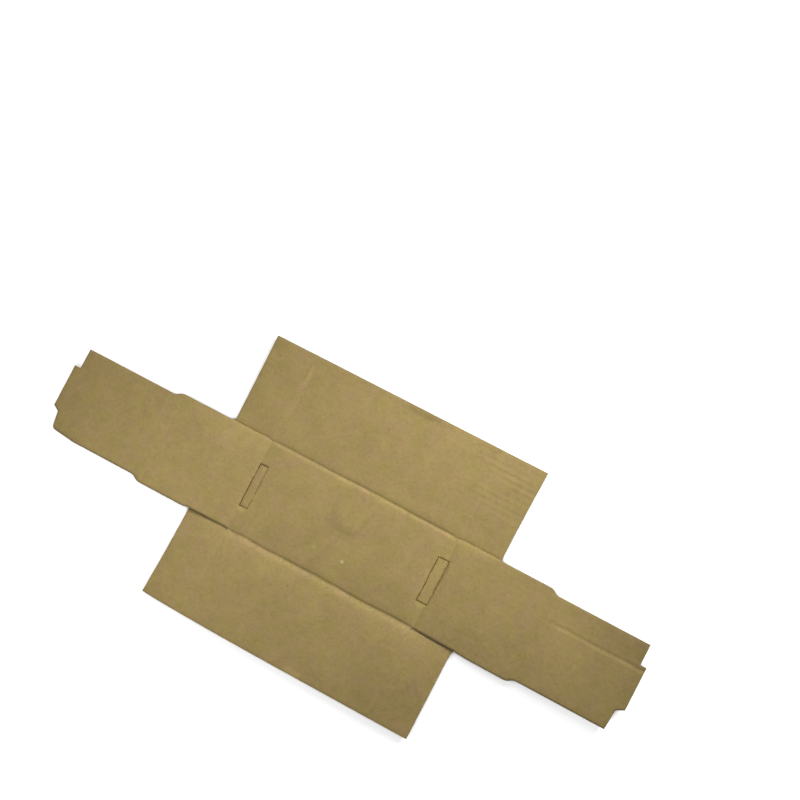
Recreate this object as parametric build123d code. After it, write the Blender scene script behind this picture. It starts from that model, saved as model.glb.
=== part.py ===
from build123d import *
import os
from math import atan2, ceil, degrees, floor

# Flat blank of a rollover-end tray box, die-cut and scored from single-wall corrugated board.
# X runs along the strip of base and end walls, Y across it, and Z up.
# The underside of the base lies on Z = 0, and the origin is under the middle of the base.

# Board: two liners with a fluted medium between them, flutes along X
board_thickness = 3.0
liner_thickness = 0.4
medium_thickness = 0.42
flute_pitch = 6.4
flute_shift = 1.6
channel_mouth = 4.7
channel_shoulder = 1.9
channel_root = 0.8
shoulder_rise = 0.35

# Panels, measured from crease to crease or from crease to cut edge
base_length = 212.0
base_width = 101.0
side_height = 96.8
wing_length = 45.5
wing_slit = 0.4
end_wall_height = 101.6
rollover_length = 12.6
inner_wall_height = 97.8
inner_wall_width = 92.0

# Locking tabs and the slots that take them. The east slot runs on a little past its end crease.
lock_offset = 1.5
tab_width = 45.6
tab_length = 6.6
tab_bevel = 4.0
end_slope = 3.0
slot_clearance = 1.25
west_slot_width = 9.2
east_slot_width = 11.8
east_slot_reach = 2.4
slot_cut = 0.6
fine_cut = 0.35
nick_width = 2.5
nick_spacing = 24.0

# Creases, each a rounded groove pressed into the upper face, with the flutes crushed shut beside it
side_crease_width = 5.0
side_crease_depth = 1.2
end_crease_width = 3.4
end_crease_depth = 0.5
wing_crease_width = 2.6
wing_crease_depth = 0.25
rollover_crease_width = 2.6
rollover_crease_depth = 0.25
crushed_margin = 0.5

# How far the panels have sprung up from the table, in degrees above level
side_lift = 2.0
end_wall_lift = 2.0
inner_wall_lift = 0.6

# Wear: one rounded corner, and a line pressed along one flute of one inner end wall
worn_corner_radius = 7.0
kink_flute = 3
kink_width = 2.4
kink_depth = 0.6

# How far a panel's board runs on under the crease that joins it to its neighbour
seam = 0.5

# Worked out from the sizes above
end_crease_x = base_length / 2
side_crease_y = base_width / 2
wing_end_x = end_crease_x + wing_length
side_edge_y = side_crease_y + side_height
wing_edge_y = side_crease_y + wing_slit / 2
wall_edge_y = side_crease_y - wing_slit / 2
first_roll_x = end_crease_x + end_wall_height
second_roll_x = first_roll_x + rollover_length
inner_end_x = second_roll_x + inner_wall_height
tab_end_x = inner_end_x + tab_length
inner_edge_y = inner_wall_width / 2
kink_y = kink_flute * flute_pitch + flute_shift
tab_top_y = lock_offset + tab_width / 2
tab_bottom_y = lock_offset - tab_width / 2
slot_length = tab_width + 2 * slot_clearance
overrun = board_thickness


def board(outline):
    """A panel of solid board with the given outline, a closed curve on the plane of the underside."""
    return extrude(make_face(outline), board_thickness, dir=(0, 0, 1))


def channel(x_from, x_to, centre_y, mouth_z, root_z):
    """One air channel of the fluting, wide at its liner and narrow where the medium turns."""
    shoulder_z = root_z + (shoulder_rise if mouth_z > root_z else -shoulder_rise)
    half_outline = [(channel_mouth / 2, mouth_z)]
    half_outline += [(channel_shoulder / 2, shoulder_z), (channel_root / 2, root_z)]
    left = [(x_from, centre_y - y, z) for y, z in half_outline]
    right = [(x_from, centre_y + y, z) for y, z in reversed(half_outline)]
    return extrude(make_face(Polyline(left + right, close=True)), x_to - x_from, dir=(1, 0, 0))


def channels(x_from, x_to, y_from, y_to, crushed_y=None):
    """The channels whose middles lie between y_from and y_to, in turn under the upper and lower liner."""
    top_z = board_thickness - liner_thickness
    half_pitch = flute_pitch / 2
    first = ceil((y_from - flute_shift) / half_pitch)
    last = floor((y_to - flute_shift) / half_pitch)
    found = []
    for count in range(first, last + 1):
        centre_y = flute_shift + count * half_pitch
        if centre_y == crushed_y:
            continue
        if count % 2 == 0:
            found.append(channel(x_from, x_to, centre_y, top_z, liner_thickness + medium_thickness))
        else:
            found.append(channel(x_from, x_to, centre_y, liner_thickness, top_z - medium_thickness))
    return found


def groove(start, end, width, depth):
    """The rounded tool that presses a crease into the upper face, from start to end."""
    radius = (width ** 2 / 4 + depth ** 2) / (2 * depth)
    along = Vector(*end) - Vector(*start)
    heading = degrees(atan2(along.Y, along.X))
    tool = Cylinder(radius, along.length, rotation=(0, 90, 0), align=(Align.CENTER, Align.CENTER, Align.MIN))
    return Pos(start[0], start[1], board_thickness - depth + radius) * Rot(0, 0, heading) * tool


def crushed(crease_width):
    """From a crease to the first open flute beside it."""
    return crease_width / 2 + crushed_margin


def base():
    """The base, between the two side creases and the two end creases."""
    x_stop = end_crease_x - crushed(end_crease_width)
    y_stop = side_crease_y - crushed(side_crease_width) - channel_mouth / 2
    corners = [(-end_crease_x, -side_crease_y), (end_crease_x, -side_crease_y)]
    corners += [(end_crease_x, side_crease_y), (-end_crease_x, side_crease_y)]
    return board(Polyline(corners, close=True)) - channels(-x_stop, x_stop, -y_stop, y_stop)


def side_panel(side):
    """A side panel with a wing at each end, sprung up about its crease. Side is 1 or -1."""
    inner_y = side_crease_y - seam
    half_outline = [(end_crease_x, inner_y), (end_crease_x, wing_edge_y)]
    half_outline += [(wing_end_x, wing_edge_y), (wing_end_x, side_edge_y)]
    outline = half_outline + [(-x, y) for x, y in reversed(half_outline)]
    panel = board(Polyline([(x, side * y) for x, y in outline], close=True))
    first_y = side_crease_y + crushed(side_crease_width) + channel_mouth / 2
    last_y = side_edge_y + channel_mouth / 2
    y_from, y_to = sorted((side * first_y, side * last_y))
    wall_stop = end_crease_x - crushed(wing_crease_width)
    wing_start = end_crease_x + crushed(wing_crease_width)
    wing_stop = wing_end_x + overrun
    for x_from, x_to in ((-wing_stop, -wing_start), (-wall_stop, wall_stop), (wing_start, wing_stop)):
        panel -= channels(x_from, x_to, y_from, y_to)
    for x in (-end_crease_x, end_crease_x):
        ends = [(x, side * inner_y), (x, side * (side_edge_y + overrun))]
        panel -= groove(*ends, wing_crease_width, wing_crease_depth)
    return panel.rotate(Axis((0, side * side_crease_y, 0), (1, 0, 0)), side * side_lift)


def shoulder(end, side):
    """The S-shaped step from outer to inner wall: two arcs that meet in its middle."""
    wide = Vector(end * first_roll_x, side * wall_edge_y)
    narrow = Vector(end * second_roll_x, side * inner_edge_y)
    middle = (wide + narrow) / 2
    return TangentArc(wide, middle, tangent=(end, 0)) + TangentArc(narrow, middle, tangent=(-end, 0))


def outer_wall(end):
    """An outer end wall and the rollover that narrows it to the inner wall. End is 1 or -1."""
    start_x = end_crease_x - seam
    corners = [(first_roll_x, -wall_edge_y), (start_x, -wall_edge_y)]
    corners += [(start_x, wall_edge_y), (first_roll_x, wall_edge_y)]
    outline = Polyline([(end * x, y) for x, y in corners])
    outline += shoulder(end, 1) + shoulder(end, -1)
    outline += Line((end * second_roll_x, inner_edge_y), (end * second_roll_x, -inner_edge_y))
    panel = board(outline)
    wall = (end_crease_x + crushed(end_crease_width), first_roll_x - crushed(rollover_crease_width))
    rollover = (first_roll_x + crushed(rollover_crease_width), second_roll_x - crushed(rollover_crease_width))
    for span in (wall, rollover):
        x_from, x_to = sorted(end * x for x in span)
        reach = wall_edge_y + channel_mouth / 2
        panel -= channels(x_from, x_to, -reach, reach)
    return panel


def inner_wall(end, worn_corner, kinked):
    """An inner end wall with its locking tab. End is 1 or -1."""
    outline = [
        (second_roll_x - seam, -inner_edge_y),
        (inner_end_x - end_slope, -inner_edge_y),
        (inner_end_x, tab_bottom_y - tab_bevel),
        (tab_end_x, tab_bottom_y),
        (tab_end_x, tab_top_y),
        (inner_end_x, tab_top_y),
        (inner_end_x, inner_edge_y),
        (second_roll_x - seam, inner_edge_y),
    ]
    panel = board(Polyline([(end * x, y) for x, y in outline], close=True))
    if worn_corner:
        low_edges = panel.edges().filter_by(Axis.Z).group_by(Axis.Y)[0]
        panel = fillet(low_edges.sort_by(Axis.X)[0 if end < 0 else -1], worn_corner_radius)
    span = (second_roll_x + crushed(rollover_crease_width), tab_end_x + overrun)
    x_from, x_to = sorted(end * x for x in span)
    reach = inner_edge_y + channel_mouth / 2
    panel -= channels(x_from, x_to, -reach, reach, kink_y if kinked else None)
    if kinked:
        ends = [(end * second_roll_x, kink_y), (end * (tab_end_x + overrun), kink_y)]
        panel -= groove(*ends, kink_width, kink_depth)
    return panel


def end_panels(end, worn_corner=False, kinked=False):
    """The outer and inner end walls of one end, sprung up about the end crease. End is 1 or -1."""
    roll_axis = Axis((end * second_roll_x, 0, 0), (0, 1, 0))
    inner = inner_wall(end, worn_corner, kinked).rotate(roll_axis, end * (end_wall_lift - inner_wall_lift))
    panels = outer_wall(end) + inner
    for x in (first_roll_x, second_roll_x):
        ends = [(end * x, -side_crease_y), (end * x, side_crease_y)]
        panels -= groove(*ends, rollover_crease_width, rollover_crease_depth)
    return panels.rotate(Axis((end * end_crease_x, 0, 0), (0, 1, 0)), -end * end_wall_lift)


def slit(x_from, x_to, y_from, y_to):
    """A straight knife cut right through the board."""
    middle = Pos((x_from + x_to) / 2, (y_from + y_to) / 2, board_thickness / 2)
    return middle * Box(x_to - x_from, y_to - y_from, board_thickness + 2 * overrun)


def slot(west_x, east_x):
    """The cuts round one slot. Its scrap stays in place, held by two nicks on the finely cut side."""
    low_y = lock_offset - slot_length / 2
    high_y = lock_offset + slot_length / 2
    cuts = [slit(west_x - slot_cut / 2, west_x + slot_cut / 2, low_y, high_y)]
    for y in (low_y, high_y):
        cuts.append(slit(west_x - slot_cut / 2, east_x, y - slot_cut / 2, y + slot_cut / 2))
    outer_run = (slot_length - nick_spacing - nick_width) / 2
    inner_run = nick_spacing - nick_width
    runs = [(low_y, outer_run), (lock_offset - inner_run / 2, inner_run), (high_y - outer_run, outer_run)]
    for y_from, run in runs:
        cuts.append(slit(east_x - fine_cut / 2, east_x + fine_cut / 2, y_from, y_from + run))
    return cuts


def creases_and_slots():
    """The creases round the base, and the cuts of both slots."""
    cuts = []
    for x in (-end_crease_x, end_crease_x):
        cuts.append(groove((x, -side_crease_y), (x, side_crease_y), end_crease_width, end_crease_depth))
    for y in (-side_crease_y, side_crease_y):
        cuts.append(groove((-end_crease_x, y), (end_crease_x, y), side_crease_width, side_crease_depth))
    east_x = end_crease_x + east_slot_reach
    west_slot = slot(-end_crease_x, west_slot_width - end_crease_x)
    return cuts + west_slot + slot(east_x - east_slot_width, east_x)


def box_blank():
    """The whole blank, with the panels joined under their creases."""
    panels = [side_panel(1), side_panel(-1), end_panels(1, kinked=True), end_panels(-1, worn_corner=True)]
    return base() + panels - creases_and_slots()


os.makedirs("parts", exist_ok=True)
export_step(box_blank(), "parts/box_blank.step")
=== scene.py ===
import math

import bmesh
import bpy
import numpy as np
from mathutils import Matrix, Vector, noise
from mathutils.geometry import delaunay_2d_cdt


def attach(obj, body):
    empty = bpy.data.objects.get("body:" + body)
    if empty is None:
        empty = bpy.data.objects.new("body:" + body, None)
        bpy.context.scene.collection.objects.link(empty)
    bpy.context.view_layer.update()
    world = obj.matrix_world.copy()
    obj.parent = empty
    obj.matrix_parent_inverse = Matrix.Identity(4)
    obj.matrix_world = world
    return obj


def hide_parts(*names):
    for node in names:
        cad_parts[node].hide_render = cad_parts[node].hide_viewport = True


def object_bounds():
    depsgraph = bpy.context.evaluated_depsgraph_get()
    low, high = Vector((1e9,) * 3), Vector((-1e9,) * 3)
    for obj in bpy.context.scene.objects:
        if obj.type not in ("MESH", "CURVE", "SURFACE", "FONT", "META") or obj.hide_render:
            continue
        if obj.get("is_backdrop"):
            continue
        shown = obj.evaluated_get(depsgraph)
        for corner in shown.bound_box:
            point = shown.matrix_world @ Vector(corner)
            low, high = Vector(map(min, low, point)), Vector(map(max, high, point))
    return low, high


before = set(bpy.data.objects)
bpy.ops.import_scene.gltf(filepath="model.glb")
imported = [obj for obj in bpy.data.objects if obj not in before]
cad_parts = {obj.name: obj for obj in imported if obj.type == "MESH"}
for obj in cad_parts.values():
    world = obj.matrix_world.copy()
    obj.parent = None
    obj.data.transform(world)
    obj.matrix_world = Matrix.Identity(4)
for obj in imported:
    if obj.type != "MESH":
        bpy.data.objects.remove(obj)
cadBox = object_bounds()

mm = 0.001
tau = 2 * math.pi

# Outline of the blank, in millimetres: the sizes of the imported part, then how this sheet was worn and cut
blank = {
    "baseLength": 212.0,
    "baseWidth": 101.0,
    "sideHeight": 96.8,
    "wingLength": 45.5,
    "wingSlit": 0.4,
    "endWallHeight": 101.6,
    "rolloverLength": 12.6,
    "innerWallHeight": 97.8,
    "innerWallWidth": 92.0,
    "lockOffset": 1.5,
    "tabWidth": 45.6,
    "tabLength": 6.6,
    "tabBevel": 4.0,
    "endSlope": 3.0,
    "slotClearance": 1.25,
    "westSlotWidth": 9.2,
    "eastSlotWidth": 11.8,
    "eastSlotReach": 2.4,
    "slotCut": 0.6,
    "fineCut": 0.35,
    "nickWidth": 2.5,
    "nickSpacing": 24.0,
    "arcSteps": 6,
    "wornCornerRadius": 5.0,
    "wornCornerBack": 2.8,
    "wornFlank": 26.0,
    "eastEndStep": 1.3,
    "slotTrim": (1.3, 0.0),
    "cutWobble": 0.12,
    "cutWobbleSize": 9.0,
    "cutWobbleApart": (31, 17, 0),
}

# Two liners with the fluted medium between them, in millimetres
board = {
    "thickness": 3.0,
    "liner": 0.4,
    "medium": 0.42,
    "leastGap": 0.25,
    "flutePitch": 6.4,
    "fluteShift": 1.6,
}

endCreaseX = blank["baseLength"] / 2
sideCreaseY = blank["baseWidth"] / 2
wingEndX = endCreaseX + blank["wingLength"]
sideEdgeY = sideCreaseY + blank["sideHeight"]
wingEdgeY = sideCreaseY + blank["wingSlit"] / 2
wallEdgeY = sideCreaseY - blank["wingSlit"] / 2
firstRollX = endCreaseX + blank["endWallHeight"]
secondRollX = firstRollX + blank["rolloverLength"]
innerEndX = secondRollX + blank["innerWallHeight"]
tabEndX = innerEndX + blank["tabLength"]
innerEdgeY = blank["innerWallWidth"] / 2
tabTopY = blank["lockOffset"] + blank["tabWidth"] / 2
tabBottomY = blank["lockOffset"] - blank["tabWidth"] / 2
bevelEndY = tabBottomY - blank["tabBevel"]
slotLength = blank["tabWidth"] + 2 * blank["slotClearance"]
eastSlotEndX = endCreaseX + blank["eastSlotReach"]
slotSpans = [(-endCreaseX, blank["westSlotWidth"] - endCreaseX),
             (eastSlotEndX - blank["eastSlotWidth"], eastSlotEndX)]
kinkY = 3 * board["flutePitch"] + board["fluteShift"]
wornCorner = (blank["endSlope"] - innerEndX, -innerEdgeY)


# Outline of the blank and of the slot cuts

def shoulder(side):
    # Two arcs that meet in the middle, from the outer wall's edge to the narrower inner wall's
    wide = Vector((firstRollX, side * wallEdgeY))
    narrow = Vector((secondRollX, side * innerEdgeY))
    half = (narrow - wide) / 2
    radius = half.length_squared / (2 * abs(half.y))
    turn = 2 * math.atan2(abs(half.y), half.x)
    first = []
    for step in range(blank["arcSteps"] + 1):
        angle = turn * step / blank["arcSteps"]
        first.append(wide + Vector((math.sin(angle), -side * (1 - math.cos(angle)))) * radius)
    return first + [wide + narrow - point for point in reversed(first[:-1])]


def rounded(before, corner, after, radius):
    back, ahead = (before - corner).normalized(), (after - corner).normalized()
    half = back.angle(ahead) / 2
    centre = corner + (back + ahead).normalized() * radius / math.sin(half)
    arm = corner + back * radius / math.tan(half) - centre
    turn = math.pi - 2 * half
    steps = blank["arcSteps"]
    return [centre + Matrix.Rotation(turn * step / steps, 2) @ arm for step in range(steps + 1)]


def cutOutline():
    # The right half from bottom to top, then the left half, which is its mirror image down to the worn corner
    right = [(wingEndX, -sideEdgeY), (wingEndX, -wingEdgeY)]
    right += [(endCreaseX, -wingEdgeY), (endCreaseX, -wallEdgeY)]
    right += shoulder(-1)
    right += [(innerEndX - blank["endSlope"], -innerEdgeY), (innerEndX, bevelEndY)]
    right += [(tabEndX, tabBottomY), (tabEndX, tabTopY), (innerEndX, tabTopY), (innerEndX, innerEdgeY)]
    right += reversed(shoulder(1))
    right += [(endCreaseX, wallEdgeY), (endCreaseX, wingEdgeY)]
    right += [(wingEndX, wingEdgeY), (wingEndX, sideEdgeY)]
    left = [(-point[0], point[1]) for point in reversed(right)]
    right[right.index((innerEndX, bevelEndY))] = (innerEndX - blank["eastEndStep"], bevelEndY)
    # The worn corner is beaten back, and the lower edge slopes up towards it
    worn = left.index(wornCorner)
    before, corner, after = Vector(left[worn - 1]), Vector(wornCorner), Vector(left[worn + 1])
    beaten = corner + (before - corner).normalized() * blank["wornCornerBack"]
    flank = corner + (after - corner).normalized() * blank["wornFlank"]
    left[worn:worn + 1] = rounded(before, beaten, flank, blank["wornCornerRadius"]) + [flank]
    return [Vector(point) for point in right + left]


def slotCuts(west, east, trim):
    # One cut round three sides, which turns in at both ends of the fine side, and one between the nicks
    low = blank["lockOffset"] - slotLength / 2
    high = blank["lockOffset"] + slotLength / 2 - trim
    cut, fine = blank["slotCut"] / 2, blank["fineCut"] / 2
    run = (slotLength - blank["nickSpacing"] - blank["nickWidth"]) / 2
    inner = (blank["nickSpacing"] - blank["nickWidth"]) / 2
    around = [(west - cut, low - cut), (east + fine, low - cut), (east + fine, low + run)]
    around += [(east - fine, low + run), (east - fine, low + cut), (west + cut, low + cut)]
    around += [(west + cut, high - cut), (east - fine, high - cut), (east - fine, high - run)]
    around += [(east + fine, high - run), (east + fine, high + cut), (west - cut, high + cut)]
    middle = blank["lockOffset"]
    between = [(east - fine, middle - inner), (east + fine, middle - inner)]
    between += [(east + fine, middle + inner), (east - fine, middle + inner)]
    return [[Vector(point) for point in around], [Vector(point) for point in between]]


# Flat mesh of the blank

# Fineness of the mesh, in millimetres. Its lines lie closer beside the creases, the cut edges and the slots.
# joinAngle is in radians and sharpAngle in degrees.
fineness = {
    "rowsPerFlute": 8,
    "columnSpacing": 6.0,
    "besideSideCrease": (0.0, 0.4, 0.9, 1.5, 2.1, 2.8),
    "besideEndCrease": (0.6, 1.2, 1.9, 2.7, 4.2),
    "besideRollover": (0.7, 1.4, 2.6),
    "besideEdge": (0.7, 1.6, 3.0),
    "besideSlot": (-2.4, -1.1, 1.1, 2.4),
    "rowGaps": (0.25, 0.3),
    "columnGaps": (0.3, 2.0),
    "besideSlit": 0.1,
    "pastSlots": 1.0,
    "weld": 1e-5,
    "plyWeld": 0.001,
    "joinAngle": 0.1,
    "sharpAngle": 35.0,
}


def spaced(lines, extra, gap):
    # Adds the extra lines that keep clear of the lines already there
    lines = sorted(lines)
    for line in extra:
        if min(abs(line - other) for other in lines) > gap:
            lines.append(line)
    return lines


def gridRows():
    step = board["flutePitch"] / fineness["rowsPerFlute"]
    rows = [-sideEdgeY, -wingEdgeY, -wallEdgeY, wallEdgeY, wingEdgeY, sideEdgeY]
    near = [side * (sideCreaseY + way * away)
            for side in (-1, 1) for way in (-1, 1) for away in fineness["besideSideCrease"]]
    nearGap, farGap = fineness["rowGaps"]
    rows = spaced(rows, near, nearGap)
    count = int(sideEdgeY / step) + 1
    return spaced(rows, [board["fluteShift"] + step * n for n in range(-count, count)], farGap)


def gridColumns():
    lines = (endCreaseX, wingEndX, firstRollX, secondRollX, innerEndX, tabEndX)
    columns = [side * x for side in (-1, 1) for x in lines]
    nearGap, farGap = fineness["columnGaps"]
    for side in (-1, 1):
        near = [side * endCreaseX + way * away for way in (-1, 1) for away in fineness["besideEndCrease"]]
        near += [side * x + way * away
                 for x in (firstRollX, secondRollX) for way in (-1, 1) for away in fineness["besideRollover"]]
        near += [side * (x - away) for x in (wingEndX, innerEndX, tabEndX) for away in fineness["besideEdge"]]
        near += [line + away for span in slotSpans for line in span for away in fineness["besideSlot"]]
        columns = spaced(columns, near, nearGap)
    count = int(tabEndX / fineness["columnSpacing"])
    return spaced(columns, [fineness["columnSpacing"] * n for n in range(-count, count + 1)], farGap)


def inside(points, loops):
    # Even and odd crossings of a ray to the right tell board from cut-out
    odd = np.zeros(len(points), bool)
    for loop in loops:
        for start, end in zip(loop, loop[1:] + loop[:1]):
            if start.y == end.y:
                continue
            crosses = (points[:, 1] < start.y) != (points[:, 1] < end.y)
            at = start.x + (points[:, 1] - start.y) * (end.x - start.x) / (end.y - start.y)
            odd ^= crosses & (points[:, 0] < at)
    return odd


def cutDistance(points, loops):
    nearest = np.full(len(points), 1e9)
    for loop in loops:
        for start, end in zip(loop, loop[1:] + loop[:1]):
            along = end - start
            fromX, fromY = points[:, 0] - start.x, points[:, 1] - start.y
            share = ((fromX * along.x + fromY * along.y) / along.length_squared).clip(0, 1)
            nearest = np.minimum(nearest, np.hypot(fromX - share * along.x, fromY - share * along.y))
    return nearest


def onKnifeLine(place):
    # Slits and slot cuts. Their waver comes later, and takes the board beside them along.
    along, across = abs(place.x), abs(place.y)
    if across > wingEdgeY + fineness["besideSlit"]:
        return False
    alongSlit = along < wingEndX and across > wallEdgeY - fineness["besideSlit"]
    return alongSlit or along < eastSlotEndX + fineness["pastSlots"]


def flatSheet(loops):
    # Rows follow the flutes and columns cross them, and the outline cuts both
    points, edges = [], []
    for loop in loops:
        first = len(points)
        edges += [(first + n, first + (n + 1) % len(loop)) for n in range(len(loop))]
        points += loop
    for y in gridRows():
        edges.append((len(points), len(points) + 1))
        points += [Vector((-tabEndX, y)), Vector((tabEndX, y))]
    for x in gridColumns():
        edges.append((len(points), len(points) + 1))
        points += [Vector((x, -sideEdgeY)), Vector((x, sideEdgeY))]
    grid, _, corners = delaunay_2d_cdt(points, edges, [], 2, fineness["weld"], False)[:3]
    grid = np.array([tuple(point) for point in grid])
    corners = np.array(corners)
    corners = corners[inside(grid[corners].mean(axis=1), loops)]
    used, corners = np.unique(corners, return_inverse=True)
    grid, corners = grid[used], corners.reshape(-1, 3)

    mesh = bmesh.new()
    verts = [mesh.verts.new((x, y, 0)) for x, y in grid]
    for corner in corners:
        mesh.faces.new([verts[n] for n in corner])
    bmesh.ops.recalc_face_normals(mesh, faces=mesh.faces)
    if mesh.faces[:][0].normal.z < 0:
        bmesh.ops.reverse_faces(mesh, faces=mesh.faces)
    limit = fineness["joinAngle"]
    bmesh.ops.join_triangles(mesh, faces=mesh.faces, angle_face_threshold=limit, angle_shape_threshold=limit)
    for vert in mesh.verts:
        if vert.is_boundary and not onKnifeLine(vert.co):
            place = vert.co / blank["cutWobbleSize"]
            apart = Vector(blank["cutWobbleApart"])
            wobble = Vector((noise.noise(place), noise.noise(place + apart), 0))
            vert.co += wobble * blank["cutWobble"]
    return mesh


# Heights over the flat sheet, in millimetres

# What varies over the sheet: strength, size in millimetres and layer of the noise
unevenness = {
    "slowWarp": (0.12, 70.0, 3.5),
    "fineWarp": (0.03, 20.0, 7.5),
    "sideDepth": (0.3, 9.0, 15.5),
    "sideWander": (0.9, 14.0, 12.5),
    "kinkWander": (1.6, 16.0, 1.5),
    "kinkDepth": (0.9, 10.0, 5.5),
    "cutEdge": (0.6, 7.0, 9.5),
    "waverEast": (0.4, 7.0, 25.5),
    "waverNorth": (0.4, 7.0, 28.5),
    "drawnIn": (2.2, 8.0, 21.5),
    "rim": (1.3, 6.0, 31.5),
}


def uneven(name, x, y):
    strength, size, layer = unevenness[name]
    return strength * np.array([noise.noise(Vector((a / size, b / size, layer))) for a, b in zip(x, y)])


def faded(distance, reach):
    return np.clip(distance / reach, 0, 1)


def levelling(distance, reach, tip):
    return tip * (1 - (1 - faded(distance, reach)) ** 2)


def groove(distance, size):
    halfWidth, depth = size
    return depth * np.cos(faded(np.abs(distance), halfWidth) * math.pi / 2) ** 2


def bell(distance, width, height=1.0):
    return height * np.exp(-(distance / width) ** 2)


# How the sheet lies, in millimetres and degrees: the panels have sprung up and level out towards their ends
lie = {
    "sideLift": 2.0,
    "endWallLift": 2.0,
    "innerWallLift": 0.6,
    "endLip": 0.35,
    "endLipReach": 4.0,
    "baseCrown": 1.2,
    "crownPowers": (4, 2.5),
    "wingDroop": (0.32, 0.12),
    "westWallTwist": 0.8,
    "kinkTwist": 0.5,
    "kinkTwistStart": 8.0,
    "warpedFrom": 0.5,
}


def sprung(x, y):
    overSide = np.abs(y) - sideCreaseY
    overEnd = np.abs(x) - endCreaseX
    sideTip = blank["sideHeight"] * math.sin(math.radians(lie["sideLift"]))
    endTip = (secondRollX - endCreaseX) * math.sin(math.radians(lie["endWallLift"]))
    endTip += (tabEndX - secondRollX) * math.sin(math.radians(lie["innerWallLift"]))
    side = levelling(overSide, blank["sideHeight"], sideTip)
    side *= 1 - np.where(x < 0, *lie["wingDroop"]) * faded(overEnd, blank["wingLength"]) ** 2
    end = levelling(overEnd, tabEndX - endCreaseX, endTip - lie["endLip"])
    end += lie["endLip"] * (1 - np.exp(-np.clip(overEnd, 0, None) / lie["endLipReach"]))
    # The west end wall is twisted, with its lower edge up
    turned = np.where(x < 0, np.sin(faded(overEnd, blank["endWallHeight"]) * math.pi), 0)
    end -= lie["westWallTwist"] * turned * y / sideCreaseY
    alongPower, acrossPower = lie["crownPowers"]
    crown = np.clip(1 - np.abs(y / sideCreaseY) ** acrossPower, 0, 1)
    crown = crown * np.clip(1 - (x / endCreaseX) ** alongPower, 0, 1) * lie["baseCrown"]
    height = np.where(overSide > 0, side, np.where(overEnd > 0, end, crown))
    warp = uneven("slowWarp", x, y) + uneven("fineWarp", x, y)
    height += warp * faded(height, lie["warpedFrom"])
    # The strip beside the kink droops near the rollover and rises towards the tab
    along = faded(x - secondRollX, tabEndX - secondRollX)
    twist = math.tan(math.radians(lie["kinkTwist"])) * (2 * along - 1) * np.clip(y - kinkY, 0, None)
    twist *= np.clip(along * lie["kinkTwistStart"], 0, 1)
    return height + np.where((x > secondRollX) & (overSide < 0), twist, 0)


# Creases as (half width, depth) in millimetres, and the other places where the board is crushed. Shift and
# spread of the side creases are for the lower and the upper one, and slotScraps is how far down each slot's
# scrap is pressed at its west and its east side.
crush = {
    "side": (2.5, 0.85),
    "sideDip": (3.8, 0.48),
    "sideShift": (0.8, -0.35),
    "sideSpread": (3.3, 1.7),
    "sideTurn": 1.0,
    "sideTurnReach": 9.0,
    "sideEndFade": 5.0,
    "besideSlit": 0.4,
    "besideSlitFade": 30.0,
    "noiseRow": 50.0,
    "ridgePlace": -0.8,
    "ridgeWidth": 0.6,
    "end": (2.6, 0.2),
    "endDip": (5.0, 0.08),
    "westEndShare": 0.35,
    "wing": (3.0, 0.13),
    "rollover": (2.6, 0.1),
    "kink": (3.4, 0.46),
    "kinkShift": -1.0,
    "kinkStart": (1.0, 12.0),
    "kinkShare": 0.85,
    "cutEdge": (1.4, 0.25),
    "cutEdgeShare": 0.8,
    "wornCorner": (9.0, 0.7),
    "slotScraps": ((0.5, 0.15), (0.1, 0.5)),
}


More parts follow.
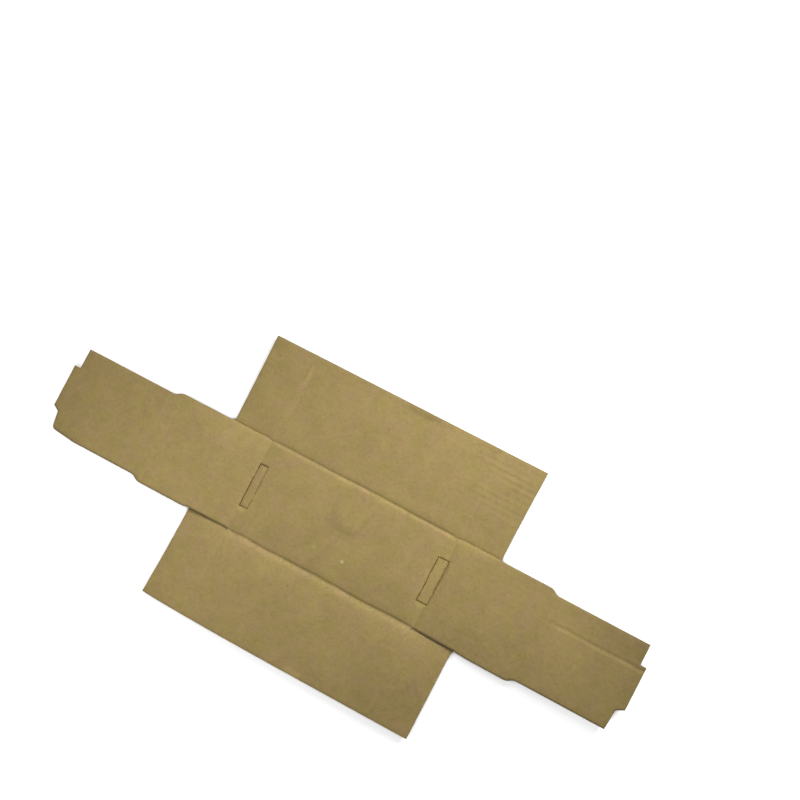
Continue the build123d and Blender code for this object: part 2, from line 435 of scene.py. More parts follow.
def pressed(x, y, away):
    # How far the upper liner is pressed down, how hard it is folded, and the ridge beside the side creases
    overEnd = np.abs(x) - endCreaseX
    onStrip = np.abs(y) < sideCreaseY
    fold = np.zeros(len(x))
    press = np.zeros(len(x))
    # The side creases wander a little, are pressed harder in some places, have a wider flank to the south,
    # and run out along the slits
    creaseRow = np.sign(y) * crush["noiseRow"]
    runOut = crush["besideSlit"] * faded(blank["wingLength"] - overEnd, crush["besideSlitFade"])
    fullLength = crush["besideSlit"] + (1 - crush["besideSlit"]) * faded(-overEnd, crush["sideEndFade"])
    side = np.where(overEnd < 0, fullLength, runOut) * (1 + uneven("sideDepth", x, creaseRow))
    fromCrease = y - np.sign(y) * sideCreaseY - np.where(y < 0, *crush["sideShift"])
    fromCrease += uneven("sideWander", x, creaseRow)
    fromCrease += crush["sideTurn"] * faded(overEnd + crush["sideTurnReach"], crush["sideTurnReach"])
    fromCrease /= np.where(fromCrease < 0, np.where(y < 0, *crush["sideSpread"]), 1)
    endShare = onStrip * np.where(x < 0, crush["westEndShare"], 1)
    parts = [(fromCrease, "side", side), (overEnd, "end", endShare), (overEnd, "wing", ~onStrip)]
    parts += [(np.abs(x) - line, "rollover", onStrip) for line in (firstRollX, secondRollX)]
    for distance, name, share in parts:
        depth = groove(distance, crush[name]) * share
        press = np.maximum(press, depth)
        fold = np.maximum(fold, depth / crush["side"][1])
    ridge = side * bell(fromCrease - crush["ridgePlace"], crush["ridgeWidth"]) * (overEnd < 0)
    start, fade = crush["kinkStart"]
    kinkLine = kinkY + crush["kinkShift"] + uneven("kinkWander", x, y * 0)
    kinkFade = faded(x - secondRollX - start, fade) * (crush["kinkShare"] + uneven("kinkDepth", x, y * 0))
    kink = groove(y - kinkLine, crush["kink"]) * kinkFade * (x > secondRollX)
    press += kink
    fold = np.maximum(fold, kink / crush["side"][1])
    press += bell(fromCrease, *crush["sideDip"]) * side + bell(overEnd, *crush["endDip"]) * onStrip
    press += bell(away, *crush["cutEdge"]) * (crush["cutEdgeShare"] + uneven("cutEdge", x, y))
    press += bell(np.hypot(x - wornCorner[0], y - wornCorner[1]), *crush["wornCorner"])
    for (west, east), (westPress, eastPress) in zip(slotSpans, crush["slotScraps"]):
        across = (x - west) / (east - west)
        scrap = (across > 0) & (across < 1) & (np.abs(y - blank["lockOffset"]) < slotLength / 2)
        press += np.where(scrap, westPress * (1 - across) + eastPress * across, 0)
    return press, fold, ridge


# Fields over the flat sheet, and its shifts in the plane

def blend(share, pair):
    return pair[0] * (1 - share) + pair[1] * share


# How far the panels are cut out of true, in millimetres, at their west and their east ends. A side panel is
# shifted east at its crease and at its tip, and north at its edge. The slits beside it are shifted north,
# and closed is how much each is drawn together at its inner and its outer end. The lower edge of the east
# walls is shifted too. The other values are the lengths over which these shifts grow and fade.
askew = {
    "upper": {
        "crease": (1.5, 1.6),
        "tip": (0.5, 3.2),
        "edge": (-0.2, 0.85),
        "slit": (0.75, 0.75),
        "closed": ((0.12, 0.03), (0.17, 0.15)),
    },
    "lower": {
        "crease": (1.0, -0.9),
        "tip": (-1.4, -0.8),
        "edge": (2.6, 0.2),
        "slit": (1.4, 1.05),
        "closed": ((0.13, -0.04), (0.19, 0.06)),
    },
    "creaseReach": 8.0,
    "wingReach": 10.0,
    "cornerPower": 5,
    "slitReach": 7.0,
    "slitStart": (98.0, 12.0),
    "slitEnd": 5.0,
    "closedFrom": 0.1,
    "eastWall": -0.65,
    "eastWallFrom": 20.0,
    "eastWallReach": (20.0, 26.0),
}


def outOfTrue(x, y):
    shiftEast, shiftNorth = np.zeros(len(x)), np.zeros(len(x))
    eastShare = x / (2 * wingEndX) + 0.5
    overEnd = np.abs(x) - endCreaseX
    outWing = faded(overEnd, blank["wingLength"])
    slitFrom, slitFade = askew["slitStart"]
    slitLength = faded(np.abs(x) - slitFrom, slitFade)
    slitLength *= faded(wingEndX + askew["slitEnd"] - np.abs(x), askew["slitEnd"])
    for way, panel in ((1, askew["upper"]), (-1, askew["lower"])):
        # The shift of a panel grows from its crease, and its wings have all of it up to their slits
        overSide = way * y - sideCreaseY
        out = np.clip(overSide, 0, None)
        start = np.maximum(faded(out, askew["creaseReach"]), faded(overEnd, askew["wingReach"])) * (out > 0)
        tipShare = (out / blank["sideHeight"]) ** 2
        ends = (blend(eastShare, panel["crease"]), blend(eastShare, panel["tip"]))
        shiftEast += start * blend(tipShare, ends)
        west, east = panel["edge"]
        edge = west * (1 - eastShare).clip(0, 1) ** askew["cornerPower"] + east * eastShare.clip(0, 1)
        shiftNorth += edge * out / blank["sideHeight"]
        # Both sides of a slit go north, and towards each other
        besideSlit = bell(overSide, askew["slitReach"]) * (way * y > 0) * slitLength
        inner, outer = [np.where(x < 0, *pair) for pair in zip(*panel["closed"])]
        closed = blend(outWing, (inner, outer)) * (overEnd > askew["closedFrom"])
        shiftNorth += besideSlit * (np.where(x < 0, *panel["slit"]) - way * np.sign(overSide) * closed)
    alongReach, acrossReach = askew["eastWallReach"]
    lowerEdge = faded(x - wingEndX, alongReach) * faded(-y - askew["eastWallFrom"], acrossReach)
    return shiftEast, shiftNorth + askew["eastWall"] * lowerEdge * (y > -sideCreaseY)


# Painted light and shade on the upper face, partly the board's own tone: broad lighter and darker patches,
# each kept within its panel: place, half size, tone and the panel that each stays in
lightAndShadePatches = [
    {"at": (-130.0, 46.0), "size": (48.0, 24.0), "tone": 0.17, "within": (-210, -106.2, -50, 51)},
    {"at": (99.0, 12.0), "size": (16.0, 48.0), "tone": 0.09, "within": (-106, 105.4, -50, 50)},
    {"at": (150.0, 18.0), "size": (60.0, 14.0), "tone": 0.05, "within": (106, 219, -50, 50)},
    {"at": (130.0, 50.0), "size": (34.0, 8.0), "tone": 0.1, "within": (106.2, 210, -50, 51)},
    {"at": (322.0, 40.0), "size": (58.0, 40.0), "tone": -0.21, "within": (219, 330, 20.2, 50)},
    {"at": (318.0, -10.0), "size": (46.0, 40.0), "tone": -0.07, "within": (219, 330, -50, 20)},
    {"at": (322.0, 10.0), "size": (14.0, 60.0), "tone": -0.07, "within": (219, 330, -50, 50)},
    {"at": (300.0, -46.0), "size": (44.0, 16.0), "tone": -0.09, "within": (219, 330, -50, 20)},
    {"at": (240.0, 20.0), "size": (36.0, 34.0), "tone": 0.05, "within": (219, 330, -50, 50)},
    {"at": (165.0, -42.0), "size": (75.0, 20.0), "tone": -0.11, "within": (106, 330, -51, 50)},
    {"at": (60.0, -30.0), "size": (42.0, 16.0), "tone": -0.07, "within": (-106, 106, -50, 50)},
    {"at": (122.0, -120.0), "size": (60.0, 26.0), "tone": -0.1, "within": (-160, 160, -150, -50)},
    {"at": (-70.0, -62.0), "size": (60.0, 14.0), "tone": 0.07, "within": (-160, 160, -150, -50)},
    {"at": (105.0, -58.0), "size": (40.0, 9.0), "tone": 0.11, "within": (-160, 160, -150, -50)},
    {"at": (70.0, 58.0), "size": (60.0, 10.0), "tone": 0.06, "within": (-160, 160, 50, 150)},
]


def lightAndShadeTone(x, y):
    total = np.zeros(len(x))
    for lightAndShadePatch in lightAndShadePatches:
        west, east, south, north = lightAndShadePatch["within"]
        away = np.hypot((x - lightAndShadePatch["at"][0]) / lightAndShadePatch["size"][0], (y - lightAndShadePatch["at"][1]) / lightAndShadePatch["size"][1])
        inPanel = (x > west) & (x < east) & (y > south) & (y < north)
        total += lightAndShadePatch["tone"] * np.exp(-(away ** 2)) * inPanel
    return total


# How far the liners are drawn in between the glue lines, in millimetres, everywhere and on the upper panel's
# east wing. There the flutes show through in broken lines, from a place that many millimetres east of the
# middle and north of the crease.
drawnIn = {
    "depth": 0.02,
    "wingDepth": 0.15,
    "wingFrom": (70.0, 35.0),
    "wingFade": (45.0, 15.0),
    "lineShare": 0.55,
    "lineLimits": (0.1, 1.5),
    "lineStretch": 9.0,
}


def hollows(x, y):
    fromX, fromCrease = drawnIn["wingFrom"]
    fadeX, fadeY = drawnIn["wingFade"]
    onWing = faded(x - fromX, fadeX) * faded(y - sideCreaseY - fromCrease, fadeY)
    broken = drawnIn["lineShare"] + uneven("drawnIn", x / drawnIn["lineStretch"], y)
    onWing *= np.clip(broken, *drawnIn["lineLimits"])
    return blend(onWing, (drawnIn["depth"], drawnIn["wingDepth"]))


# How far the wear and the painted shadow reach from the cuts, in millimetres, and their share by place. The
# painted shadow darkens the lower edges, those of the west walls, the east walls and the side panel, and
# scuffShare is for the west and the east.
wearAndEdgeShadow = {
    "waverReach": 2.5,
    "rimReach": 0.9,
    "rimShare": 0.6,
    "rimLimits": (0.1, 1.0),
    "edgeShadowReach": 1.4,
    "edgeShadowShare": (0.85, 1.0, 0.15),
    "panelEdgeFrom": 10.0,
    "scuffReach": 2.2,
    "scuffShare": (0.6, 1.0),
    "scuffedRidge": 0.6,
}


def shapedSheet():
    loops = [cutOutline()]
    for (west, east), trim in zip(slotSpans, blank["slotTrim"]):
        loops += slotCuts(west, east, trim)
    sheet = flatSheet(loops)
    places = np.array([vert.co[:] for vert in sheet.verts])
    x, y = places[:, 0], places[:, 1]
    slits = [[Vector((side * endCreaseX, way * sideCreaseY)), Vector((side * wingEndX, way * sideCreaseY))]
             for side in (-1, 1) for way in (-1, 1)]
    away = cutDistance(places, loops)
    fromKnife = cutDistance(places, loops[1:] + slits)
    # The outline runs against the clock, so its edges that head east face south
    outline = loops[0]
    south = [[start, end] for start, end in zip(outline, outline[1:] + outline[:1])
             if end.x - start.x > abs(end.y - start.y) and not onKnifeLine((start + end) / 2)]
    # Painted shadow along the south-facing edges, by place
    westShare, eastShare, panelShare = wearAndEdgeShadow["edgeShadowShare"]
    onPanel = y < -sideCreaseY - wearAndEdgeShadow["panelEdgeFrom"]
    shadowShareByPlace = np.where(onPanel, panelShare, np.where(x < 0, westShare, eastShare))
    press, fold, ridge = pressed(x, y, away)
    rim = np.clip(wearAndEdgeShadow["rimShare"] + uneven("rim", x, y), *wearAndEdgeShadow["rimLimits"])
    free = board["thickness"] - 2 * board["liner"] - board["medium"]
    fields = {
        "rise": sprung(x, y) * mm,
        "gap": np.clip(free - press, board["leastGap"], free) * mm,
        "drawn": hollows(x, y) * mm,
        "fold": fold,
        "rim": bell(away, wearAndEdgeShadow["rimReach"]) * rim,
        "lowerEdge": bell(cutDistance(places, south), wearAndEdgeShadow["edgeShadowReach"]) * shadowShareByPlace,
        "ridge": ridge,
        "scuff": bell(fromKnife, wearAndEdgeShadow["scuffReach"]) * np.where(x < 0, *wearAndEdgeShadow["scuffShare"]),
        "lightAndShadePatch": lightAndShadeTone(x, y),
    }
    fields["scuff"] += wearAndEdgeShadow["scuffedRidge"] * ridge
    waver = bell(fromKnife, wearAndEdgeShadow["waverReach"])
    shiftEast, shiftNorth = outOfTrue(x, y)
    shiftEast += waver * uneven("waverEast", x, y)
    shiftNorth += waver * uneven("waverNorth", x, y)
    for vert, east, north in zip(sheet.verts, shiftEast, shiftNorth):
        vert.co = (vert.co + Vector((east, north, 0))) * mm
    mesh = bpy.data.meshes.new("flatBlank")
    sheet.to_mesh(mesh)
    sheet.free()
    for name, values in fields.items():
        mesh.attributes.new(name, "FLOAT", "POINT").data.foreach_set("value", values.astype(np.float32))
    print("flat sheet:", len(mesh.vertices), "points,", len(mesh.polygons), "faces")
    return mesh


# Node helpers

def addNode(tree, kind, inputs=(), **settings):
    node = tree.nodes.new(kind)
    for name, value in settings.items():
        setattr(node, name, value)
    for name, value in dict(inputs).items():
        if isinstance(value, bpy.types.NodeSocket):
            tree.links.new(value, node.inputs[name])
        else:
            node.inputs[name].default_value = value
    return node


def made(tree, kind, inputs=(), **settings):
    return addNode(tree, kind, inputs, **settings).outputs[0]


def calc(tree, operation, *terms):
    return made(tree, "ShaderNodeMath", enumerate(terms), operation=operation)


def vectorCalc(tree, operation, *terms):
    return made(tree, "ShaderNodeVectorMath", enumerate(terms), operation=operation)


def scaled(tree, vector, factor):
    return made(tree, "ShaderNodeVectorMath", {0: vector, "Scale": factor}, operation="SCALE")


def mapped(tree, value, span, onto=(0.0, 1.0), **settings):
    limits = {"Value": value, "From Min": span[0], "From Max": span[1], "To Min": onto[0], "To Max": onto[1]}
    return made(tree, "ShaderNodeMapRange", limits, **settings)


def attribute(tree, name):
    if tree.type == "GEOMETRY":
        node = addNode(tree, "GeometryNodeInputNamedAttribute", {"Name": name}, data_type="FLOAT")
        return node.outputs["Attribute"]
    return addNode(tree, "ShaderNodeAttribute", attribute_name=name).outputs["Fac"]


def fluteWave(tree, y, shift, pitch):
    turns = calc(tree, "DIVIDE", calc(tree, "SUBTRACT", y, shift), pitch)
    return calc(tree, "COSINE", calc(tree, "MULTIPLY", turns, tau))


# Plies: one tree lifts, waves and thickens the flat sheet

plyInputs = {
    "Above Underside": 0.0,
    "Share Of Gap": 0.0,
    "Wave": 0.0,
    "Paper Thickness": board["liner"] * mm,
    "Drawn In": 0.0,
    "Flute Pitch": board["flutePitch"] * mm,
    "Flute Shift": board["fluteShift"] * mm,
    "Sharp Angle": math.radians(fineness["sharpAngle"]),
}


def plyTree():
    tree = bpy.data.node_groups.new("boardPly", "GeometryNodeTree")
    tree.interface.new_socket("Sheet", in_out="INPUT", socket_type="NodeSocketGeometry")
    for name, value in plyInputs.items():
        tree.interface.new_socket(name, in_out="INPUT", socket_type="NodeSocketFloat").default_value = value
    tree.interface.new_socket("Paper", in_out="INPUT", socket_type="NodeSocketMaterial")
    tree.interface.new_socket("Ply", in_out="OUTPUT", socket_type="NodeSocketGeometry")
    given = addNode(tree, "NodeGroupInput").outputs

    # 0 where the medium meets the lower liner, 1 where it meets the upper one
    position = made(tree, "GeometryNodeInputPosition")
    y = addNode(tree, "ShaderNodeSeparateXYZ", {"Vector": position}).outputs["Y"]
    flute = fluteWave(tree, y, given["Flute Shift"], given["Flute Pitch"])
    crest = calc(tree, "MULTIPLY_ADD", flute, -0.5, 0.5)

    gap = attribute(tree, "gap")
    height = calc(tree, "ADD", attribute(tree, "rise"), given["Above Underside"])
    height = calc(tree, "MULTIPLY_ADD", gap, given["Share Of Gap"], height)
    height = calc(tree, "MULTIPLY_ADD", calc(tree, "MULTIPLY", gap, crest), given["Wave"], height)
    # Between the glue lines the liner is drawn in a little towards the medium
    offCrest = calc(tree, "SUBTRACT", crest, given["Share Of Gap"])
    drawn = calc(tree, "MULTIPLY", attribute(tree, "drawn"), given["Drawn In"])
    height = calc(tree, "MULTIPLY_ADD", offCrest, drawn, height)

    lifted = made(tree, "ShaderNodeCombineXYZ", {"Z": height})
    lower = made(tree, "GeometryNodeSetPosition", {"Geometry": given["Sheet"], "Offset": lifted})
    up = made(tree, "ShaderNodeCombineXYZ", {"Z": given["Paper Thickness"]})
    upper = made(tree, "GeometryNodeExtrudeMesh", {"Mesh": lower, "Offset": up, "Individual": False})
    under = made(tree, "GeometryNodeFlipFaces", {"Mesh": lower})
    joined = addNode(tree, "GeometryNodeJoinGeometry")
    tree.links.new(upper, joined.inputs[0])
    tree.links.new(under, joined.inputs[0])
    weld = {"Geometry": joined.outputs[0], "Distance": fineness["plyWeld"] * mm}
    closed = made(tree, "GeometryNodeMergeByDistance", weld)
    # Smooth, but for the edges of the paper
    smooth = made(tree, "GeometryNodeSetShadeSmooth", {"Geometry": closed, "Shade Smooth": True})
    bend = addNode(tree, "GeometryNodeInputMeshEdgeAngle").outputs["Unsigned Angle"]
    blunt = made(tree, "FunctionNodeCompare", {"A": bend, "B": given["Sharp Angle"]}, operation="LESS_THAN")
    edges = {"Geometry": smooth, "Shade Smooth": blunt}
    shaded = made(tree, "GeometryNodeSetShadeSmooth", edges, domain="EDGE")
    real = made(tree, "GeometryNodeRealizeInstances", {"Geometry": shaded})
    done = made(tree, "GeometryNodeSetMaterial", {"Geometry": real, "Material": given["Paper"]})
    addNode(tree, "NodeGroupOutput", {"Ply": done})
    return tree


def ply(name, flat, tree, settings, paper):
    piece = bpy.data.objects.new(name, flat.copy())
    bpy.context.scene.collection.objects.link(piece)
    modifier = piece.modifiers.new("ply", "NODES")
    modifier.node_group = tree
    sockets = {item.name: item.identifier for item in tree.interface.items_tree if item.in_out == "INPUT"}
    for key, value in settings.items():
        modifier[sockets[key]] = value
    modifier[sockets["Paper"]] = paper
    result = piece.evaluated_get(bpy.context.evaluated_depsgraph_get())
    piece.data = bpy.data.meshes.new_from_object(result)
    piece.modifiers.clear()
    piece.data.name = name
    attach(piece, "root")
    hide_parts("box_blank")
    triangles = sum(len(face.vertices) - 2 for face in piece.data.polygons)
    print(name, "triangles:", triangles)


# Papers

papers = {
    "kraftFace": {
        "colour": (0.342, 0.250, 0.096),
        "layer": 0.0,
        "cloud": 0.06,
        "blotch": 0.1,
        "mottle": 0.07,
        "grain": 0.05,
        "stroke": 0.05,
        "fibre": 0.06,
        "dash": 0.11,
        "fluteLines": 0.25,
        "roughness": 0.88,
    },
    "kraftUnderside": {
        "colour": (0.325, 0.237, 0.092),
        "layer": 40.0,
        "cloud": 0.06,
        "blotch": 0.08,
        "mottle": 0.07,
        "grain": 0.05,
        "stroke": 0.05,
        "fibre": 0.06,
        "dash": 0.05,
        "fluteLines": 0.8,
        "roughness": 0.9,
    },
    "kraftFluting": {
        "colour": (0.27, 0.19, 0.08),
        "layer": 80.0,
        "cloud": 0.03,
        "blotch": 0.04,
        "mottle": 0.06,
        "grain": 0.06,
        "stroke": 0.05,
        "fibre": 0.09,
        "dash": 0.0,
        "fluteLines": 0.0,
        "roughness": 0.92,
    },
}

# The papers' soft unevenness: size in millimetres, detail and layer of the noise
paperClouds = {
    "cloud": (45.0, 2.0, 0),
    "blotch": (20.0, 2.0, 2),
    "mottle": (8.0, 1.5, 0),
    "grain": (2.5, 1.0, 3),
}

# Fibres, broader strokes and rare dashes: length, width and directions, in millimetres and degrees
paperGrain = {
    "fibre": (3.2, 0.28, (20, 75, 130)),
    "stroke": (10.0, 3.0, (50, 140)),
    "dash": (6.0, 1.3, (35, 110, 160)),
}

# Where the noise of the dashes begins to show, how the hue, the worn places, the painted highlight on the
# creases and the painted shadow along the lower edges depart from the colour, and the relief and gloss of the
# surface. Sizes are in millimetres.
paperTint = {
    "dashFrom": (0.62, 0.74),
    "paleDashFrom": (0.37, 0.26),
    "paleDash": 0.7,
    "hueSize": 16.0,
    "hueSwing": 1.6,
    "hueLayer": 9,
    "mauve": (1.02, 0.985, 1.09),
    "olive": (0.98, 1.015, 0.91),
    # Paler along the creases: crushed paper, with painted highlight on their lit flanks
    "crease": (1.16, 1.155, 1.17),
    "cutEdge": (0.84, 0.78, 0.64),
    # Painted shadow along the south-facing cut edges
    "lowerEdge": (0.42, 0.44, 0.54),
    "ridge": (0.965, 0.97, 1.03),
    "bare": (0.6, 0.52, 0.34),
    "scuffSize": 2.0,
    "scuffLayer": 13,
    "scuffFrom": (0.0, 0.16),
    "scuff": 0.34,
    "spotFade": (1.0, 0.35),
    "bumpStrength": 0.35,
    "bumpHeight": 0.1,
    "gloss": 0.25,
}

# Soiled and rubbed spots on the upper face, with painted highlights and painted shade among them by the west
# wing's crease and the slots' cuts: place, half size and tone, in millimetres
spots = [
    {"at": (13.3, -24.2), "size": (2.8, 2.2), "tone": 0.25, "bare": 0.5},
    {"at": (11.6, -26.2), "size": (1.2, 1.0), "tone": -0.2},
    {"at": (-19.5, -24.5), "size": (3.0, 2.4), "tone": 0.14},
    {"at": (-13.0, 8.0), "size": (13.0, 10.0), "tone": -0.09},
    {"at": (3.0, 4.5), "size": (14.0, 6.5), "tone": -0.1},
    {"at": (-17.0, 19.0), "size": (4.5, 9.0), "tone": -0.07},
    {"at": (16.0, 21.0), "size": (4.0, 8.0), "tone": -0.09},
    {"at": (56.0, -8.5), "size": (4.0, 2.2), "tone": -0.1},
    {"at": (-6.0, 115.0), "size": (1.6, 1.4), "tone": -0.25},
    {"at": (18.0, 144.0), "size": (26.0, 5.5), "tone": -0.18},
    {"at": (20.0, -144.0), "size": (15.0, 6.0), "tone": 0.15},
    {"at": (-24.0, -71.0), "size": (1.6, 1.4), "tone": -0.28},
    {"at": (-96.0, -120.0), "size": (1.5, 1.5), "tone": -0.2},
    # Painted highlight beside the west wing's crease, with painted shade right on it
    {"at": (-102.8, 104.0), "size": (3.6, 40.0), "tone": 0.07},
    {"at": (-102.6, 125.0), "size": (2.8, 18.0), "tone": 0.1},
    {"at": (-106.4, 128.0), "size": (1.5, 15.0), "tone": -0.14},
    # Painted shade in the west slot's north cut, with a pale fleck below it
    {"at": (-101.0, 24.6), "size": (6.0, 2.0), "tone": -0.2},
    {"at": (-100.8, 20.6), "size": (2.6, 2.6), "tone": 0.14},
    # Painted shade along the west slot's east cut
    {"at": (-96.6, 3.0), "size": (1.8, 9.0), "tone": -0.12},
    # Painted shadow along the east slot's east side, where its scrap lies lower
    {"at": (109.4, 14.0), "size": (2.9, 19.0), "tone": -0.17},
    {"at": (109.0, -12.0), "size": (2.0, 12.0), "tone": -0.07},
    {"at": (235.0, 25.6), "size": (16.0, 1.9), "tone": 0.06},
    {"at": (312.0, 25.6), "size": (13.0, 1.9), "tone": 0.08},
    {"at": (259.4, -8.4), "size": (1.0, 3.6), "tone": -0.15},
    {"at": (262.2, -8.8), "size": (1.0, 3.2), "tone": 0.08},
    {"at": (101.5, -26.2), "size": (6.5, 3.4), "tone": 0.2},
    {"at": (-102.5, -25.8), "size": (5.0, 3.2), "tone": 0.22},
    # Painted shade in the east slot's north cut, with a pale fleck above it
    {"at": (102.0, 25.2), "size": (6.5, 2.6), "tone": -0.2},
    {"at": (104.5, 28.3), "size": (6.0, 2.6), "tone": 0.1},
]


def swing(tree, coords, size, strength, detail=2.0, layer=0.0):
    # Noise of that size in millimetres, swinging about nothing by that strength
    place = vectorCalc(tree, "ADD", coords, (0, 0, layer))
    value = made(tree, "ShaderNodeTexNoise", {"Vector": place, "Scale": 1 / size, "Detail": detail})
    return calc(tree, "MULTIPLY", calc(tree, "SUBTRACT", value, 0.5), 2 * strength)


def stretched(tree, coords, kind):
    # Coordinates drawn out along each of the directions in turn
    length, width, directions = paperGrain[kind]
    for degrees in directions:
        shape = {"Vector": coords, "Rotation": (0, 0, math.radians(degrees)), "Scale": (length, width, 1)}
        yield degrees, made(tree, "ShaderNodeMapping", shape, vector_type="TEXTURE")


def streaks(tree, coords, kind, strength, layer):
    total = 0.0
    for degrees, turned in stretched(tree, coords, kind):
        total = calc(tree, "ADD", swing(tree, turned, 1.0, strength, layer=layer + degrees), total)
    return total


def dashes(tree, coords, strength, layer):
    # Short dark marks where stretched noise rises above its usual level, and fainter pale ones where it sinks
    kinds = [(paperTint["dashFrom"], -strength)]
    kinds.append((paperTint["paleDashFrom"], strength * paperTint["paleDash"]))
    total = 0.0
    for degrees, turned in stretched(tree, coords, "dash"):
        place = vectorCalc(tree, "ADD", turned, (0, 0, layer + degrees))
        value = made(tree, "ShaderNodeTexNoise", {"Vector": place, "Scale": 1.0, "Detail": 1.0})
        for span, change in kinds:
            total = calc(tree, "MULTIPLY_ADD", mapped(tree, value, span), change, total)
    return total


def spotShare(tree, x, y, spot):
    squares = []
    for value, middle, size in zip((x, y), spot["at"], spot["size"]):
        share = calc(tree, "DIVIDE", calc(tree, "SUBTRACT", value, middle), size)
        squares.append(calc(tree, "POWER", share, 2.0))
    away = calc(tree, "SQRT", calc(tree, "ADD", *squares))
    return mapped(tree, away, paperTint["spotFade"], interpolation_type="SMOOTHSTEP")


def tintMix(tree, share, first, second):
    mix = addNode(tree, "ShaderNodeMix", {0: share}, data_type="RGBA", clamp_factor=True)
    for socket, colour in ((mix.inputs[6], first), (mix.inputs[7], second)):
        if isinstance(colour, bpy.types.NodeSocket):
            tree.links.new(colour, socket)
        else:
            socket.default_value = (*colour, 1)
    return mix.outputs[2]


def kraftPaper(name, marks=()):
    look = papers[name]
    paper = bpy.data.materials.new(name)
    paper.use_nodes = True
    tree = paper.node_tree
    shader = tree.nodes["Principled BSDF"]
    place = addNode(tree, "ShaderNodeTexCoord").outputs["Object"]
    coords = scaled(tree, place, 1 / mm)
    x, y = addNode(tree, "ShaderNodeSeparateXYZ", {0: coords}).outputs[:2]
    layer = look["layer"]

    terms = []
    for kind, (size, detail, above) in paperClouds.items():
        terms.append(swing(tree, coords, size, look[kind], detail, layer + above))
    fibre = streaks(tree, coords, "fibre", look["fibre"], layer)
    terms += [fibre, streaks(tree, coords, "stroke", look["stroke"], layer)]
    terms.append(dashes(tree, coords, look["dash"], layer))
    # The liner is a little darker over the hollows between the glue lines, the more it is drawn in
    flute = fluteWave(tree, y, board["fluteShift"], board["flutePitch"])
    flute = calc(tree, "MULTIPLY", flute, -look["fluteLines"] / mm)
    terms.append(calc(tree, "MULTIPLY", flute, attribute(tree, "drawn")))
    bare = 0.0
    for spot in marks:
        share = spotShare(tree, x, y, spot)
        terms.append(calc(tree, "MULTIPLY", share, spot["tone"]))
        if "bare" in spot:
            bare = calc(tree, "MULTIPLY_ADD", share, spot["bare"], bare)
    # The broad patches of painted light and shade
    if marks:
        terms.append(attribute(tree, "lightAndShadePatch"))
    # Frayed fibres along the slot cuts
    frayed = swing(tree, coords, paperTint["scuffSize"], 0.5, layer=layer + paperTint["scuffLayer"])
    frayed = calc(tree, "MULTIPLY", mapped(tree, frayed, paperTint["scuffFrom"]), paperTint["scuff"])
    terms.append(calc(tree, "MULTIPLY", frayed, attribute(tree, "scuff")))
    tone = 1.0
    for term in terms:
        tone = calc(tree, "ADD", term, tone)

    hueLayer = layer + paperTint["hueLayer"]
    hue = swing(tree, coords, paperTint["hueSize"], paperTint["hueSwing"], layer=hueLayer)
    hues = [[a * b for a, b in zip(look["colour"], paperTint[way])] for way in ("mauve", "olive")]
    tinted = tintMix(tree, calc(tree, "ADD", hue, 0.5), *hues)
    # Worn and soiled along the creases and the cut edges, with painted highlight on the creases and painted
    # shadow along the south-facing edges
    worn = {"fold": "crease", "ridge": "ridge", "rim": "cutEdge", "lowerEdge": "lowerEdge"}
    for field, tint in worn.items():
        wearAndShadeTint = tintMix(tree, attribute(tree, field), (1, 1, 1), paperTint[tint])
        tinted = vectorCalc(tree, "MULTIPLY", tinted, wearAndShadeTint)
    colour = scaled(tree, tinted, tone)
    if marks:
        colour = tintMix(tree, bare, colour, paperTint["bare"])
    tree.links.new(colour, shader.inputs["Base Color"])
    bumps = {"Height": fibre, "Strength": paperTint["bumpStrength"], "Distance": paperTint["bumpHeight"] * mm}
    tree.links.new(made(tree, "ShaderNodeBump", bumps), shader.inputs["Normal"])
    shader.inputs["Roughness"].default_value = look["roughness"]
    shader.inputs["Specular IOR Level"].default_value = paperTint["gloss"]
    return paper


# Camera, at the photograph's viewing angle

viewpoint = {
    "location": (0.20009, 0.09934, 1.49041),
    "turnDegrees": (5.296, 6.316, 27.717),
    "lens": 67.5,
    "sensorWidth": 36.0,
}
cameraData = bpy.data.cameras.new("camera")
cameraData.lens = viewpoint["lens"]
cameraData.sensor_width = viewpoint["sensorWidth"]
camera = bpy.data.objects.new("camera", cameraData)
camera.location = viewpoint["location"]
camera.rotation_euler = [math.radians(angle) for angle in viewpoint["turnDegrees"]]
bpy.context.scene.collection.objects.link(camera)
bpy.context.scene.camera = camera
print("camera placed")

# What each ply changes of the tree's inputs
bottomLiner = {"Drawn In": 1.0}
flutedMedium = {
    "Above Underside": board["liner"] * mm,
    "Wave": 1.0,
    "Paper Thickness": board["medium"] * mm,
}
topLiner = {
    "Above Underside": (board["liner"] + board["medium"]) * mm,
    "Share Of Gap": 1.0,
    "Drawn In": 1.0,
}

flatBlank = shapedSheet()
boardPly = plyTree()
ply("bottomLiner", flatBlank, boardPly, bottomLiner, kraftPaper("kraftUnderside"))
ply("flutedMedium", flatBlank, boardPly, flutedMedium, kraftPaper("kraftFluting"))
ply("topLiner", flatBlank, boardPly, topLiner, kraftPaper("kraftFace", spots))
print("plies made")


# Floor and light

# Each lamp faces the middle of the blank. Its share is how much of a level sheet's light it gives there.
studio = {
    "floorSize": 12.0,
    "floorDrop": 0.0001,
    "floorColour": 0.8,
    "floorGlow": (0.62, 0.95),
    "floorGlowFrom": (0.2, 0.7),
    "floorCover": 0.009,
    "floorSamples": 8,
    "floorOpenness": (0.47, 0.64),
    "floorInCut": (0.2, 0.5),
    "worldLight": 0.19,
    "key": {"share": 0.335, "heading": 55.0, "tilt": 66.0, "away": 1.68, "size": 0.4},
    "top": {"share": 0.255, "heading": 65.0, "tilt": 39.0, "away": 0.38, "size": 0.16},
    "fill": {"share": 0.235, "heading": 201.0, "tilt": 39.0, "away": 0.41, "size": 0.16},
}


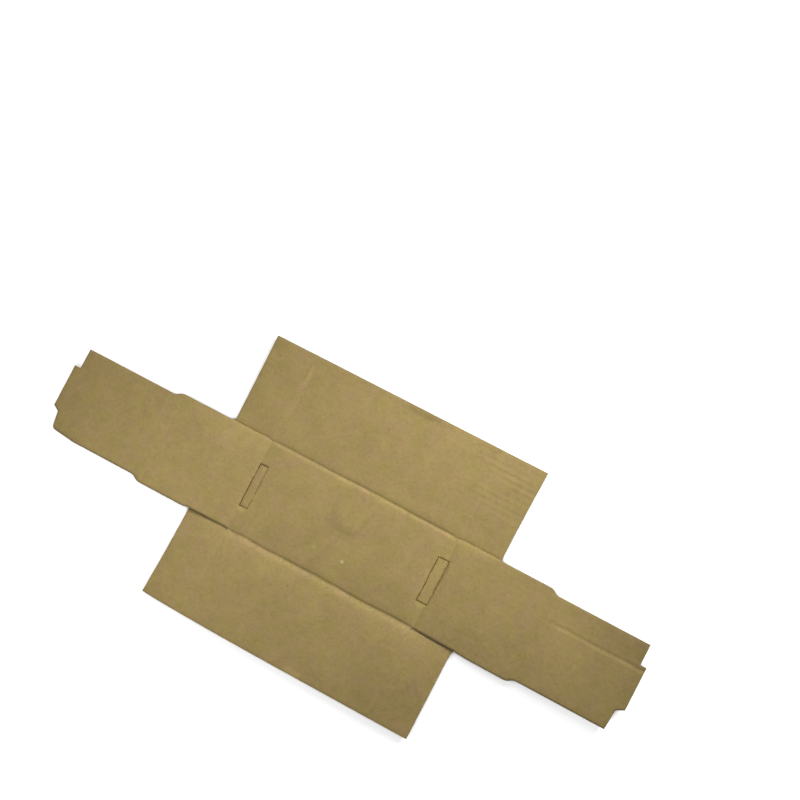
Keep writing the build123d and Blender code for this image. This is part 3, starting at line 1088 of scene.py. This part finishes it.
def seenDirectly(tree):
    # 1 for rays from the camera, off gloss and through glass
    path = addNode(tree, "ShaderNodeLightPath").outputs
    seen = calc(tree, "MAXIMUM", path["Is Camera Ray"], path["Is Glossy Ray"])
    return calc(tree, "MAXIMUM", seen, path["Is Transmission Ray"])


def paleFloor():
    paper = bpy.data.materials.new("paleFloor")
    paper.use_nodes = True
    tree = paper.node_tree
    tree.nodes.clear()
    # The floor's own white grows away from its middle, and is missing where the board covers it, which paints
    # a thin contact shadow along the board's edges
    place = addNode(tree, "ShaderNodeTexCoord").outputs["Object"]
    away = addNode(tree, "ShaderNodeVectorMath", {0: place}, operation="LENGTH").outputs["Value"]
    white = mapped(tree, away, studio["floorGlowFrom"], studio["floorGlow"])
    cover = addNode(tree, "ShaderNodeAmbientOcclusion", {"Distance": studio["floorCover"]})
    cover.samples = studio["floorSamples"]
    openness = cover.outputs["AO"]
    glowing = calc(tree, "MULTIPLY", mapped(tree, openness, studio["floorOpenness"]), seenDirectly(tree))
    # Painted shade: the floor's colour goes dark in the cuts, under the board
    pale = mapped(tree, openness, studio["floorInCut"], (0.0, studio["floorColour"]))
    matte = made(tree, "ShaderNodeBsdfDiffuse", {"Color": pale})
    glow = made(tree, "ShaderNodeEmission", {"Strength": calc(tree, "MULTIPLY", white, glowing)})
    both = made(tree, "ShaderNodeAddShader", {0: matte, 1: glow})
    addNode(tree, "ShaderNodeOutputMaterial", {"Surface": both})
    half = studio["floorSize"] / 2
    low = cadBox[0].z - studio["floorDrop"]
    corners = [(-half, -half, low), (half, -half, low), (half, half, low), (-half, half, low)]
    mesh = bpy.data.meshes.new("floor")
    mesh.from_pydata(corners, [], [(0, 1, 2, 3)])
    mesh.materials.append(paper)
    floor = bpy.data.objects.new("floor", mesh)
    bpy.context.scene.collection.objects.link(floor)
    floor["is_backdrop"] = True


def lamp(name):
    look = studio[name]
    tilt, heading = math.radians(look["tilt"]), math.radians(look["heading"])
    towards = Vector((math.sin(tilt) * math.cos(heading), math.sin(tilt) * math.sin(heading), math.cos(tilt)))
    data = bpy.data.lights.new(name, "AREA")
    data.shape = "DISK"
    data.size = look["size"]
    data.energy = look["share"] * math.pi ** 2 * look["away"] ** 2 / math.cos(tilt)
    holder = bpy.data.objects.new(name, data)
    holder.location = towards * look["away"]
    holder.rotation_euler = towards.to_track_quat("Z", "Y").to_euler()
    holder.visible_camera = False
    bpy.context.scene.collection.objects.link(holder)


def surroundings():
    world = bpy.data.worlds.new("studio")
    world.use_nodes = True
    bpy.context.scene.world = world
    tree = world.node_tree
    background = tree.nodes["Background"]
    strength = addNode(tree, "ShaderNodeMix", {0: seenDirectly(tree)}, data_type="FLOAT")
    strength.inputs[2].default_value = studio["worldLight"]
    strength.inputs[3].default_value = 1.0
    background.inputs["Color"].default_value = (1, 1, 1, 1)
    tree.links.new(strength.outputs[0], background.inputs["Strength"])


paleFloor()
for lampName in ("key", "top", "fill"):
    lamp(lampName)
surroundings()
bpy.context.scene.view_settings.view_transform = "Standard"
print("floor and light set")

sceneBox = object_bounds()
boxes = {"cad": [list(corner) for corner in cadBox], "visual": [list(corner) for corner in sceneBox]}
print("visual box:", boxes["visual"])
